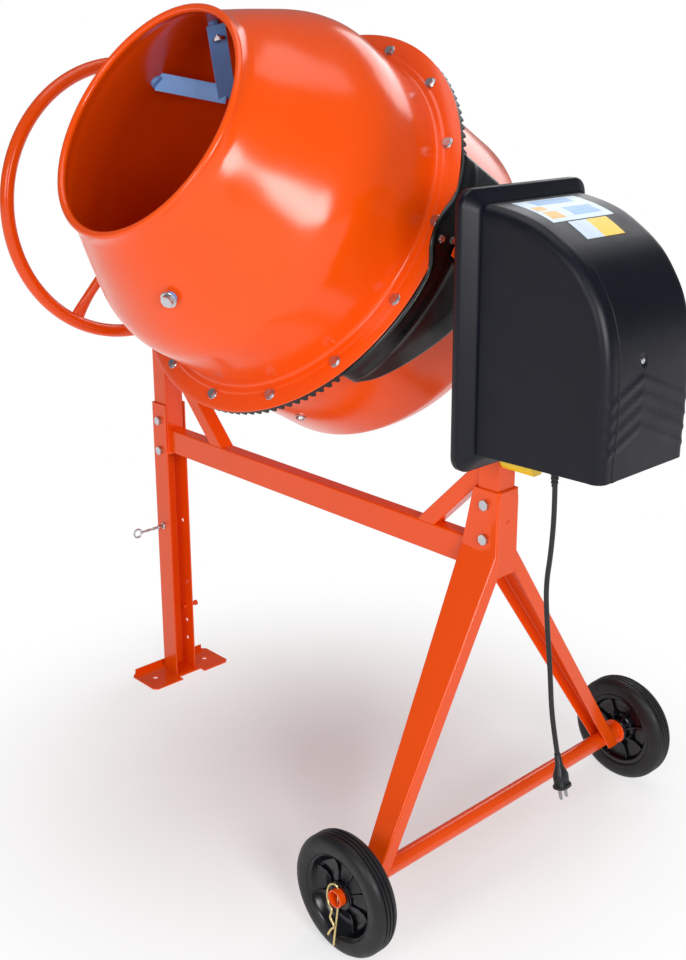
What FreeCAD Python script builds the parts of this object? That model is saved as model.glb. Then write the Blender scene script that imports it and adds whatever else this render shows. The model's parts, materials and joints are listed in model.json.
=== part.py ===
import FreeCAD, Part
import Sketcher
import math
import os
from FreeCAD import Placement, Rotation, Vector

# Electric concrete mixer, millimetres, Z up.  The drum's tilt axis runs along X,
# its mouth faces -Y, the hand wheel is at the -X end and the motor case at +X.
# Everything is laid out from the point on the floor below the drum's centre,
# and then moved by (origin_x, origin_y) so that the origin is on the floor under
# the middle of the whole machine.

doc = FreeCAD.newDocument("concrete_mixer")
sheet = doc.addObject("Spreadsheet::Sheet", "Sizes")

X_AXIS, Y_AXIS, Z_AXIS = Vector(1, 0, 0), Vector(0, 1, 0), Vector(0, 0, 1)
ALONG = {
    "x": Rotation(Y_AXIS, 90),
    "y": Rotation(X_AXIS, -90),
    "z": Rotation(),
}


class Size:
    """A length with both its value and the spreadsheet expression behind it."""

    def __init__(self, text, value):
        self.text = text
        self.value = float(value)

    def joined(self, sign, other, value):
        return Size("(%s %s %s)" % (self.text, sign, other.text), value)

    def __add__(self, other):
        other = as_size(other)
        return self.joined("+", other, self.value + other.value)

    def __sub__(self, other):
        other = as_size(other)
        return self.joined("-", other, self.value - other.value)

    def __mul__(self, other):
        other = as_size(other)
        return self.joined("*", other, self.value * other.value)

    def __truediv__(self, other):
        other = as_size(other)
        return self.joined("/", other, self.value / other.value)

    def __radd__(self, other):
        return as_size(other) + self

    def __rsub__(self, other):
        return as_size(other) - self

    def __rmul__(self, other):
        return as_size(other) * self

    def __neg__(self):
        return 0 - self


def as_size(value):
    if isinstance(value, Size):
        return value
    return Size("%.6g" % value, value)


rows = []


def size(name, value):
    """Puts one driving dimension in the spreadsheet and returns it."""
    rows.append(name)
    cell = "B%d" % len(rows)
    sheet.set("A%d" % len(rows), name)
    sheet.set(cell, "%g" % value)
    sheet.setAlias(cell, name)
    return Size("Sizes." + name, value)


def number(value):
    return as_size(value).value


# ---------------------------------------------------------------- dimensions

origin_x = size("origin_x", -76.65)
origin_y = size("origin_y", 13.22)
tilt_height = size("tilt_height", 959)
drum_rise = size("drum_rise", 31.5)

left_post = size("left_post_x", -416)
right_post = size("right_post_x", 427)
post_side = size("post_side", 40)
post_wall = size("post_wall", 2.5)
post_top = size("post_top", 926)
sheet_wall = size("sheet_wall", 3)
sleeve_side = size("sleeve_side", 48)
sleeve_low = size("sleeve_low", 480)
sleeve_high = size("sleeve_high", 617)
beam_low = size("beam_low", 481)
beam_high = size("beam_high", 528)
beam_depth = size("beam_depth", 28)
stand_high = size("stand_high", 578)
tube_low = size("tube_low", 478)
stand_width = size("stand_width", 44)
foot_length = size("foot_length", 186)
foot_width = size("foot_width", 86)

axle_x = size("axle_x", 453)
axle_radius = size("axle_radius", 13.45)
axle_half = size("axle_half", 357)
wheel_radius = size("wheel_radius", 91.5)
wheel_y = size("wheel_middle", 335)
tyre_width = size("tyre_width", 40)
knee_height = size("knee_height", 517)
knee_reach = size("knee_reach", 24)
leg_end = size("leg_end_height", 78)
leg_spread = size("leg_spread", 300)
leg_flange = size("leg_flange", 26)

flange_radius = size("flange_radius", 336)
drum_radius = size("drum_radius", 294)
shell = size("shell_thickness", 2.5)
mouth_radius = size("mouth_radius", 188)
mouth_reach = size("mouth_reach", 357)
bottom_reach = size("bottom_reach", 338)
bottom_radius = size("bottom_radius", 176)
flange_front = size("flange_front", 40.5)
bolt_circle = size("bolt_circle", 313)

gear_module = size("gear_module", 5)
ring_teeth = size("ring_teeth", 132)
pinion_teeth = size("pinion_teeth", 11)
tooth_rise = size("tooth_rise", 3.6)

arm_inner = size("arm_inner", 347)
arm_side = size("arm_side", 28)
yoke_reach = size("yoke_reach", 400)
yoke_half = size("yoke_half", 205)
boss_depth = size("boss_depth", 10)
trunnion_radius = size("trunnion_radius", 18)
stub_radius = size("stub_radius", 15)
shaft_radius = size("shaft_radius", 10)
running_gap = size("running_gap", 0.05)

handwheel_x = size("handwheel_x", -523)
handwheel_radius = size("handwheel_radius", 254)
handwheel_rod = size("handwheel_rod", 12.5)

plate_x = size("case_plate_x", 452)
case_half = size("case_half", 133)
case_low = size("case_low", 675)
case_high = size("case_high", 1071)
lip_depth = size("lip_depth", 8)
cover_half = size("cover_half", 112)
cover_end_half = size("cover_end_half", 98)
cover_low = size("cover_low", 705)
cover_high = size("cover_high", 1051)
cover_reach = size("cover_reach", 687)

pulley_radius = size("pulley_radius", 76)
motor_pulley_radius = size("motor_pulley_radius", 19)
belt_width = size("belt_width", 14)
belt_thickness = size("belt_thickness", 5)
motor_height = size("motor_height", 784)
motor_radius = size("motor_radius", 60)

cord_radius = size("cord_radius", 3.75)

doc.recompute()

# Heights of the bolts, the pin, the peg and the stand's spare holes; then the sizes of the
# holes and where they lie along the foot.
STAND_BOLTS = (483, 544)
LEG_BOLTS = (539, 594)
PIN_HEIGHT = 325
PEG_HEIGHT = 136
SPARE_HOLES = (65, 105, PEG_HEIGHT)
BOLT_HOLE = 5.3
PIN_HOLE = 4.3
FOOT_HOLES = (-62, 62)
PLATE_SCREWS = [(y, z) for y in (-55, 55) for z in (700, 1020)]
GUARD_SCREWS = ((-6, -50), (6, -78))

pitch_drop = gear_module * pinion_teeth / 2
DRUM_TURN = Rotation(X_AXIS, 90 - number(drum_rise))

# ---------------------------------------------------------------- helpers


def place(thing, x=0, y=0, z=0, turn=None):
    """Binds the position of an object to expressions, with a fixed rotation."""
    thing.Placement = Placement(Vector(number(x), number(y), number(z)), turn or Rotation())
    for axis, value in (("x", x), ("y", y), ("z", z)):
        if number(value):
            thing.setExpression("Placement.Base." + axis, as_size(value).text)
    return thing


def bind(thing, **sizes):
    for name, value in sizes.items():
        setattr(thing, name, number(value))
        thing.setExpression(name, as_size(value).text)
    return thing


def box(x, y, z, length, width, height, turn=None):
    """A block from its lowest corner."""
    thing = doc.addObject("Part::Box", "Block")
    bind(thing, Length=length, Width=width, Height=height)
    return place(thing, x, y, z, turn)


def rod(x, y, z, along, radius, length):
    """A cylinder that starts at a point and runs along a row axis or a rotation."""
    thing = doc.addObject("Part::Cylinder", "Rod")
    bind(thing, Radius=radius, Height=length)
    return place(thing, x, y, z, ALONG[along] if isinstance(along, str) else along)


def hexagon(x, y, z, along, across, length):
    """A hexagonal bolt head or nut, by its size across the flats."""
    thing = doc.addObject("Part::Prism", "Hexagon")
    thing.Polygon = 6
    bind(thing, Circumradius=as_size(across) / 1.7320508, Height=length)
    return place(thing, x, y, z, ALONG[along])


def fuse(*things):
    thing = doc.addObject("Part::MultiFuse", "Joined")
    thing.Shapes = list(things)
    thing.Refine = True
    return thing


def group(*things):
    thing = doc.addObject("Part::Compound", "Group")
    thing.Links = list(things)
    return thing


def cut(base, *tools):
    thing = doc.addObject("Part::Cut", "Trimmed")
    thing.Base = base
    thing.Tool = tools[0] if len(tools) == 1 else group(*tools)
    thing.Refine = True
    return thing


def common(base, tool):
    thing = doc.addObject("Part::Common", "Shared")
    thing.Base = base
    thing.Tool = tool
    return thing


def profile(body, plane, points, offset=None):
    """A closed sketch of straight lines whose corners are bound to expressions."""
    sketch = body.newObject("Sketcher::SketchObject", "Profile")
    for feature in body.Origin.OriginFeatures:
        if feature.Role == plane:
            sketch.AttachmentSupport = [(feature, "")]
    sketch.MapMode = "FlatFace"
    if offset is not None:
        sketch.AttachmentOffset = Placement(Vector(0, 0, number(offset)), Rotation())
        sketch.setExpression("AttachmentOffset.Base.z", as_size(offset).text)
    corners = [Vector(number(u), number(v), 0) for u, v in points]
    count = len(corners)
    for i in range(count):
        sketch.addGeometry(Part.LineSegment(corners[i], corners[(i + 1) % count]), False)
    for i in range(count):
        sketch.addConstraint(Sketcher.Constraint("Coincident", i, 2, (i + 1) % count, 1))
    for i, (u, v) in enumerate(points):
        for kind, value in (("DistanceX", u), ("DistanceY", v)):
            index = sketch.addConstraint(Sketcher.Constraint(kind, -1, 1, i, 1, number(value)))
            if isinstance(value, Size):
                sketch.setExpression("Constraints[%d]" % index, value.text)
    return sketch


def turned(points):
    """A body turned about its own Z axis from (radius, height) corners."""
    body = doc.addObject("PartDesign::Body", "Turned")
    sketch = profile(body, "XZ_Plane", points)
    spin = body.newObject("PartDesign::Revolution", "Turn")
    spin.Profile = sketch
    spin.ReferenceAxis = (sketch, ["V_Axis"])
    spin.Angle = 360
    body.Tip = spin
    return body


def padded(plane, points, length):
    """A body padded equally to both sides of one of its planes."""
    body = doc.addObject("PartDesign::Body", "Padded")
    sketch = profile(body, plane, points)
    pad = body.newObject("PartDesign::Pad", "Pad")
    pad.Profile = sketch
    pad.SideType = "Symmetric"
    bind(pad, Length=length)
    body.Tip = pad
    return body


def lofted(first, first_height, second, second_height):
    """A body lofted between two level outlines."""
    body = doc.addObject("PartDesign::Body", "Lofted")
    low = profile(body, "XY_Plane", first, first_height)
    high = profile(body, "XY_Plane", second, second_height)
    loft = body.newObject("PartDesign::AdditiveLoft", "Loft")
    loft.Profile = low
    loft.Sections = [(high, [""])]
    loft.Ruled = True
    body.Tip = loft
    return body


def solid(shape):
    """A feature that holds a shape made with Part's own functions."""
    thing = doc.addObject("Part::Feature", "Shaped")
    thing.Shape = shape
    return thing


def prism(points, direction):
    """A solid from a closed outline of 3-D points, pushed along a direction."""
    wire = Part.makePolygon(list(points) + [points[0]])
    return Part.Face(wire).extrude(direction)


def rounded_path(points, bend=None):
    """Straight runs joined by tangent arcs, and the radii of the arcs."""
    edges, radii = [], []
    start = points[0]
    for before, corner, after in zip(points, points[1:], points[2:]):
        arriving, leaving = corner - before, after - corner
        half = arriving.getAngle(leaving) / 2
        shorter = min(arriving.Length, leaving.Length)
        radius = bend or 0.45 * shorter / math.tan(half)
        reach = radius * math.tan(half)
        arriving.normalize()
        leaving.normalize()
        into, out = corner - arriving * reach, corner + leaving * reach
        inward = leaving - arriving
        inward.normalize()
        middle = corner + inward * (radius / math.cos(half) - radius)
        edges.append(Part.LineSegment(start, into).toShape())
        edges.append(Part.Arc(into, middle, out).toShape())
        radii.append(radius)
        start = out
    edges.append(Part.LineSegment(start, points[-1]).toShape())
    return Part.Wire(edges), radii


def bent_rod(points, radius, bend=None):
    """A round rod or cord along straight runs and arcs, with its length and bends."""
    path, radii = rounded_path([Vector(*[number(v) for v in p]) for p in points], bend)
    first = path.Edges[0]
    section = Part.makeCircle(number(radius), first.valueAt(first.FirstParameter),
                              first.tangentAt(first.FirstParameter))
    tube = path.makePipeShell([Part.Wire(section)], True, True)
    return tube, path.Length, radii


def strap(start, end, width, thickness, up):
    """A flat bar between two points; up gives the direction of its broad face."""
    run = end - start
    length = run.Length
    run.normalize()
    side = up.cross(run)
    side.normalize()
    normal = run.cross(side)
    corner = start - side * (width / 2) - normal * (thickness / 2)
    outline = [corner, corner + side * width,
               corner + side * width + normal * thickness, corner + normal * thickness]
    return prism(outline, run * length)


def bolt(x, y, z, along, grip, shank=5, across=16, head=6):
    """A hexagon bolt with its nut: the grip starts at the point and runs along the axis."""
    steps = {"x": (1, 0, 0), "y": (0, 1, 0), "z": (0, 0, 1)}[along]

    def moved(distance):
        return [start + step * distance for start, step in zip((x, y, z), steps)]

    return fuse(hexagon(*moved(-head), along, across, head),
                rod(*moved(0), along, shank, as_size(grip) + head),
                hexagon(*moved(grip), along, across, head))


def round_plate(x, thickness, half, low, high, corner):
    """A plate facing along X with rounded corners."""
    inner = half - corner
    bodies = [box(x, -inner, low, thickness, inner * 2, high - low),
              box(x, -half, low + corner, thickness, half * 2, high - low - 2 * corner)]
    for y in (-inner, inner):
        for z in (low + corner, high - corner):
            bodies.append(rod(x, y, z, "x", corner, thickness))
    return fuse(*bodies)


parts = {}


def part(name, thing, x=0, y=0, z=0, turn=None):
    """Names a finished sub-part and places it on the machine."""
    thing.Label = name
    place(thing, as_size(x) + origin_x, as_size(y) + origin_y, z, turn)
    parts[name] = thing
    return thing


def drum_part(name, thing):
    """A sub-part modelled on the drum's own axis: Z towards the mouth, 0 on the tilt axis."""
    return part(name, thing, 0, 0, tilt_height, DRUM_TURN)


# ---------------------------------------------------------------- frame


def square_tube(x, low, high, side, wall):
    half = side / 2
    outer = box(x - half, -half, low, side, side, high - low)
    inner = box(x - half + wall, -half + wall, low - 1, side - 2 * wall, side - 2 * wall,
                high - low + 2)
    return outer, inner


def cross_holes(x, heights, radius):
    """Cutters for holes right through a post along Y."""
    return [rod(x, -60, z, "y", radius, 120) for z in heights]


def make_posts():
    outer, inner = square_tube(left_post + 1, tube_low, post_top, post_side, post_wall)
    part("left_post", cut(outer, inner, *cross_holes(left_post + 1, STAND_BOLTS, BOLT_HOLE)))
    outer, inner = square_tube(right_post, sleeve_low, post_top, post_side, post_wall)
    part("right_post", cut(outer, inner, *cross_holes(right_post, LEG_BOLTS, BOLT_HOLE)))


def make_beam_and_braces():
    start = left_post + 1 + post_side / 2
    end = right_post - sleeve_side / 2
    high = beam_high - beam_low
    outer = box(start, -beam_depth / 2, beam_low, end - start, beam_depth, high)
    inner = box(start - 1, 2 - beam_depth / 2, beam_low + 2, end - start + 2, beam_depth - 4, high - 4)
    part("cross_beam", cut(outer, inner))

    def brace(name, foot, post, top, rise):
        """A hollow strut from the beam up to a post, drawn by its sloping sides."""
        lean = (top - beam_high) / (as_size(post) - foot)
        inset = as_size(3)
        points = [(post, top - rise), (post, top), (foot, beam_high), (foot + rise / lean, beam_high)]
        hollow = [(post, top - rise + inset), (post, top - inset),
                  (foot + inset / lean, beam_high), (foot + (rise - inset) / lean, beam_high)]
        part(name, cut(padded("XZ_Plane", points, beam_depth),
                       padded("XZ_Plane", hollow, beam_depth - 4)))

    brace("right_brace", 275, right_post - post_side / 2, as_size(660), as_size(38))
    brace("left_brace", -230, start, as_size(702), as_size(41))


def make_stand():
    half = sleeve_side / 2
    web = left_post - stand_width / 2
    floor = as_size(3)
    channel = [(web, -half), (web + stand_width, -half), (web + stand_width, sheet_wall - half),
               (web + sheet_wall, sheet_wall - half), (web + sheet_wall, half - sheet_wall),
               (web + stand_width, half - sheet_wall), (web + stand_width, half), (web, half)]
    body = lofted(channel, floor, channel, stand_high)
    holes = cross_holes(left_post + 1, STAND_BOLTS, BOLT_HOLE)
    holes += cross_holes(left_post + 1, [PIN_HEIGHT], PIN_HOLE)
    holes += [rod(left_post + 1, 10, z, "y", PIN_HOLE, 50) for z in SPARE_HOLES]
    holes.append(rod(left_post - 60, 0, 178, "x", PIN_HOLE, 60))
    part("stand_leg", cut(body, *holes))

    width, length, corner = foot_width, foot_length, 8
    x0, x1 = left_post - 41, left_post - 41 + width
    outline = [(x0 + corner, -length / 2), (x1 - corner, -length / 2), (x1, corner - length / 2),
               (x1, length / 2 - corner), (x1 - corner, length / 2), (x0 + corner, length / 2),
               (x0, length / 2 - corner), (x0, corner - length / 2)]
    base = lofted(outline, as_size(0), outline, floor)
    lip = box(left_post - 41, -length / 2 + 10, 3, 3, length - 20, 10)
    notch = box(left_post - 41 + width - 14, -24, -1, 20, 54, 5)
    holes = [rod(left_post + 1, y, -1, "z", 5.5, 5) for y in FOOT_HOLES]
    part("foot_plate", cut(fuse(base, lip), notch, *holes))

    part("stand_bolts", group(*[bolt(left_post + 1, -half, z, "y", sleeve_side)
                                for z in STAND_BOLTS]))
    peg = rod(left_post + 1, half - 10, PEG_HEIGHT, "y", 4, 33)
    part("stand_peg", fuse(peg, rod(left_post + 1, half + 19, PEG_HEIGHT, "y", 5.5, 4)))


def make_height_pin():
    """The pull pin that sets the stand's height, with its twisted wire ring."""
    x, z = number(left_post) + 1, PIN_HEIGHT
    wire, _, _ = bent_rod([(x, -39, z), (x, -48, z + 1.6), (x, -62, z - 1.6), (x, -76, z)], 1.6)
    ring = Part.makeTorus(8, 1.6, Vector(x, -85.6, z), X_AXIS)
    collar = Part.makeCylinder(6.5, 3, Vector(x, -27, z), Y_AXIS)
    part("height_pin", solid(Part.makeCylinder(4, 22, Vector(x, -39, z), Y_AXIS)
                             .fuse(collar).fuse(wire).fuse(ring).removeSplitter()))


# ---------------------------------------------------------------- wheeled legs


def make_legs():
    """Two pressed channels that clasp the right post and spread to the axle."""
    half, middle = sleeve_side / 2, as_size(0)
    x0, x1 = right_post - half, right_post + half
    for name, way in (("front_leg", -1), ("rear_leg", 1)):
        web = half * way
        wall = sheet_wall * way
        clasp = [(x0, middle), (x0, web), (x1, web), (x1, middle), (x1 - sheet_wall, middle),
                 (x1 - sheet_wall, web - wall), (x0 + sheet_wall, web - wall), (x0 + sheet_wall, middle)]
        top = lofted(clasp, sleeve_low, clasp, sleeve_high)

        def section(low_x, high_x, outer):
            inner = outer - leg_flange * way
            return [(low_x, inner), (low_x, outer), (high_x, outer), (high_x, inner),
                    (high_x - sheet_wall, inner), (high_x - sheet_wall, outer - wall * 1.2),
                    (low_x + sheet_wall, outer - wall * 1.2), (low_x + sheet_wall, inner)]

        lower = lofted(section(axle_x - 16.5, axle_x + 17, leg_spread * way), leg_end,
                       section(x0 - knee_reach, x1, web), knee_height)
        gusset = lofted([(x0 - knee_reach, web), (x0 + 1, web), (x0 + 1, web - wall),
                         (x0 - knee_reach, web - wall)], knee_height,
                        [(x0 - 1, web), (x0 + 1, web), (x0 + 1, web - wall), (x0 - 1, web - wall)],
                        sleeve_high)
        beam = box(x0 - 60, -beam_depth / 2 - 0.2, beam_low - 0.2, 60, beam_depth + 0.4,
                   beam_high - beam_low + 0.4)
        room = box(right_post - post_side / 2 - 0.5, -post_side / 2 - 0.5, sleeve_low - 60,
                   post_side + 1, post_side + 1, 300)
        holes = cross_holes(right_post, LEG_BOLTS, BOLT_HOLE)
        holes.append(rod(axle_x, -400, wheel_radius, "y", axle_radius + 0.1, 800))
        side = box(0, 0 if way < 0 else -200, 400, 700, 200, 300)
        part(name, cut(fuse(top, lower, gusset), room, side, beam, *holes))
    part("leg_bolts", group(*[bolt(right_post, -half, z, "y", sleeve_side) for z in LEG_BOLTS]))


def make_axle():
    outer = rod(axle_x, -axle_half, wheel_radius, "y", axle_radius, axle_half * 2)
    inner = rod(axle_x, -400, wheel_radius, "y", axle_radius - 2.5, 800)
    holes = [rod(axle_x, way * (axle_half - 7.7), 60, "z", 1.95, 60) for way in (-1, 1)]
    collars, washers = [], []
    for way in (-1, 1):
        near = wheel_y - 27 if way > 0 else -wheel_y + 23
        collars.append(rod(axle_x, near, wheel_radius, "y", 21, 4))
        near = wheel_y + 10.3 if way > 0 else -wheel_y - 12.3
        washers.append(cut(rod(axle_x, near, wheel_radius, "y", 20, 2),
                           rod(axle_x, near - 1, wheel_radius, "y", axle_radius + 0.3, 4)))
    part("axle_tube", cut(fuse(outer, *collars), inner, *holes))
    part("axle_washers", group(*washers))


def make_hairpins():
    """Spring clips: one straight leg through the axle's end, one waved leg round it."""
    x, high = number(axle_x), number(wheel_radius)
    clips = []
    for way in (-1, 1):
        y = way * (number(axle_half) - 7.7)
        points = [(x, y + way * 9.3, high - 76), (x, y, high - 19), (x, y, high + 26),
                  (x - 9, y + way * 0.5, high + 32), (x - 19, y + way, high + 20),
                  (x - 19.5, y + way, high - 14), (x - 6, y + way * 4, high - 30),
                  (x - 10, y + way * 6.5, high - 50), (x - 6, y + way * 9.3, high - 66)]
        wire, _, _ = bent_rod(points, 1.75, 6)
        clips.append(solid(wire))
    part("hairpin_clips", group(*clips))


def make_wheels():
    radius, half = wheel_radius, tyre_width / 2
    seat, bore = 64, axle_radius + 0.08
    tread = [(seat, -half + 4), (radius - 14, -half), (radius - 5, -half + 3), (radius, -half + 9)]
    for middle in (-6, 0, 6):
        tread += [(radius, middle - 1.6), (radius - 2.2, middle - 0.9),
                  (radius - 2.2, middle + 0.9), (radius, middle + 1.6)]
    tread += [(radius, half - 9), (radius - 5, half - 3), (radius - 14, half), (seat, half - 4)]
    disc = [(bore, -10), (20, -10), (22, -5), (50, -2), (54, -16), (seat, -16), (seat, 16),
            (54, 16), (50, 4), (22, 3), (21, 21), (bore, 21)]
    for side, way in (("front", -1), ("rear", 1)):
        turn = Rotation(X_AXIS, -90 * way)
        part(side + "_tyre", turned(tread), axle_x, wheel_y * way, wheel_radius, turn)
        flipped = [(r, -d) for r, d in disc]
        flipped.reverse()
        part(side + "_wheel", turned(flipped), axle_x, wheel_y * way, wheel_radius, turn)


# ---------------------------------------------------------------- tilting yoke


def make_yoke():
    """Two arms that bend in behind the drum to a cross member, all hollow, in the drum's axes."""
    side, wall, inside = arm_side, sheet_wall, arm_side - 2 * sheet_wall
    near, far = arm_inner, arm_inner + arm_side
    end, low = yoke_half, -yoke_reach
    outline = [(near, 21), (far, 21), (far, -206), (end + side * 0.95, low), (end, low), (end, low + side),
               (end + 12, low + side), (near, -197)]
    hollow = [(near + wall, 22), (far - wall, 22), (far - wall, -205), (end + side * 0.95 - 1.5, low + wall),
              (end - 1, low + wall), (end - 1, low + side - wall), (end + 13.5, low + side - wall),
              (near + wall, -198)]
    for name, way in (("left", -1), ("right", 1)):
        outer = padded("XZ_Plane", [(x * way, z) for x, z in outline], side)
        inner = padded("XZ_Plane", [(x * way, z) for x, z in hollow], inside)
        x = near if way > 0 else -far
        bore = rod(x - 1, 0, 0, "x", trunnion_radius if way > 0 else stub_radius, side + 2)
        boss = rod(far - boss_depth if way > 0 else -far, 0, 0, "x", side * 0.9, boss_depth)
        drum_part(name + "_yoke_arm", cut(fuse(cut(outer, inner), boss), bore))
    outer = box(-end, -side / 2, low, end * 2, side, side)
    inner = box(-end - 1, -side / 2 + wall, low + wall, end * 2 + 2, inside, inside)
    drum_part("yoke_base", cut(outer, inner))
    low = yoke_reach - side
    drum_part("drum_spindle", fuse(rod(0, 0, -low, "z", 34, 5),
                                   rod(0, 0, -low, "z", 20, low - bottom_reach - 8),
                                   rod(0, 0, -low, "z", 12, low - bottom_reach + 42)))
    nut = cut(hexagon(0, 0, 30.3 - bottom_reach, "z", 30, 9),
              rod(0, 0, 20 - bottom_reach, "z", 12, 30))
    drum_part("spindle_nut", nut)


def make_trunnions():
    """The tilting shafts: a solid stub on the left, a hollow one on the right."""
    face = arm_inner
    left_end = handwheel_x + 42
    part("left_trunnion", rod(0, 0, 0, "z", stub_radius, -left_end - face),
         left_end, 0, tilt_height, ALONG["x"])
    right = cut(rod(face, 0, 0, "x", trunnion_radius, plate_x + 4 - face),
                rod(face - 1, 0, 0, "x", shaft_radius + running_gap, 200))
    part("right_trunnion", right, 0, 0, tilt_height)
    for name, x, radius in (("left_bearing", left_post + 1, stub_radius),
                            ("right_bearing", right_post, trunnion_radius)):
        half = post_side / 2
        block = box(x - half, -32, post_top, post_side, 64, 48)
        crown = rod(x - half, 0, tilt_height, "x", 32, post_side)
        bore = rod(x - half - 1, 0, tilt_height, "x", radius + running_gap, post_side + 2)
        part(name, cut(fuse(block, crown), bore))


def make_handwheel():
    rim = doc.addObject("Part::Torus", "Rim")
    bind(rim, Radius1=handwheel_radius, Radius2=handwheel_rod)
    place(rim, handwheel_x, 0, tilt_height, ALONG["x"])
    hub_x = handwheel_x + 42
    hub = cut(rod(hub_x, 0, tilt_height, "x", 27, 38),
              rod(hub_x - 1, 0, tilt_height, "x", stub_radius, 40))
    spokes = []
    for angle in (59.3, -120.7):
        a = math.radians(angle)
        reach = number(handwheel_radius)
        start = Vector(number(hub_x) + 19, 0, number(tilt_height))
        end = Vector(number(handwheel_x), reach * math.cos(a), number(tilt_height) + reach * math.sin(a))
        run = end - start
        length = run.Length
        spoke = doc.addObject("Part::Cylinder", "Spoke")
        spoke.Placement = Placement(start, Rotation(Z_AXIS, run))
        bind(spoke, Radius=9, Height=length)
        spokes.append(spoke)
    hub_solid = rod(hub_x, 0, tilt_height, "x", 27, 38)
    part("handwheel_spokes", cut(group(*spokes), rim, hub_solid))
    rim_copy = doc.addObject("Part::Torus", "Rim")
    bind(rim_copy, Radius1=handwheel_radius, Radius2=handwheel_rod)
    part("handwheel_rim", rim_copy, handwheel_x, 0, tilt_height, ALONG["x"])
    part("handwheel_hub", hub)


# ---------------------------------------------------------------- drum


def around_flange():
    """Where the flange bolts stand, as x and y in the drum's own axes."""
    spots = []
    for i in range(15):
        angle = math.radians(24 * i - 18.7)
        spots.append((bolt_circle * math.cos(angle), bolt_circle * math.sin(angle)))
    return spots


def make_drum():
    front = flange_front
    back = front - 2.5
    outer = [(flange_radius, back), (flange_radius, front), (drum_radius + 4, front),
             (drum_radius, front + 2.5), (drum_radius - 2, front + 8), (drum_radius - 2, 150),
             (290.5, 165), (287, 182), (280.5, 200), (270, 220), (257, 240), (245, 260),
             (231.5, 280), (217.5, 300), (205, 320), (196, 338), (mouth_radius + 1.5, mouth_reach - 7),
             (mouth_radius + 2.6, mouth_reach - 1), (mouth_radius + 1, mouth_reach + 4),
             (mouth_radius - 3, mouth_reach + 6.5), (mouth_radius - 7.5, mouth_reach + 4.5),
             (mouth_radius - 9.5, mouth_reach), (mouth_radius - 8.5, mouth_reach - 5)]
    inner = [(mouth_radius - 3.5, mouth_reach - 10), (193.5, 336), (202.5, 318.5), (215, 298.5),
             (229, 278.5), (242.5, 258.5), (254.5, 238.5), (267.6, 218.6), (278.2, 199),
             (284.5, 181.5), (288, 165), (drum_radius - 2 - shell, 150), (drum_radius - 2 - shell, back)]
    spots = around_flange()
    holes = [rod(x, y, back - 1, "z", 4.2, 5) for x, y in spots]
    for way in (-1, 1):
        direction = Rotation(Z_AXIS, Vector(-0.33 * way, 0.78 * way, 0.53))
        holes.append(rod(-89 * way, 210 * way, 251, direction, 3.7, 40))
    drum_part("drum_front", cut(turned(outer + inner), *holes))

    base, low = bottom_radius, -bottom_reach
    outer = [(320, 34), (320, 32), (drum_radius + 4, 32), (drum_radius + 1, 30), (drum_radius, 26),
             (drum_radius, -190), (289, -201), (280, -220), (265, -240), (246, -260), (228, -280),
             (211, -300), (194, -320), (base, low), (28, low)]
    inner = [(28, low + shell), (base - 1.3, low + shell), (192, -318.3), (209, -298.3),
             (226, -278.4), (243.6, -258.8), (262.4, -239), (277.4, -219.2), (286.7, -200),
             (drum_radius - shell, -189.5), (drum_radius - shell, 34)]
    holes = [rod(x, y, 31, "z", 4.2, 4) for x, y in spots]
    drum_part("drum_back", cut(turned(outer + inner), *holes))

    hub = [(12.05, low - 6), (28, low - 6), (28, low + shell), (62, low + shell), (62, low + 7),
           (28, low + 7), (28, low + 30), (12.05, low + 30)]
    drum_part("drum_hub", turned(hub))
    bolts = []
    for x, y in spots:
        bolts.append(fuse(hexagon(x, y, front, "z", 13, 4.5), rod(x, y, 26.5, "z", 4, front - 26),
                          hexagon(x, y, 25.5, "z", 12.5, 6.5)))
    drum_part("flange_bolts", group(*bolts))


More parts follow.
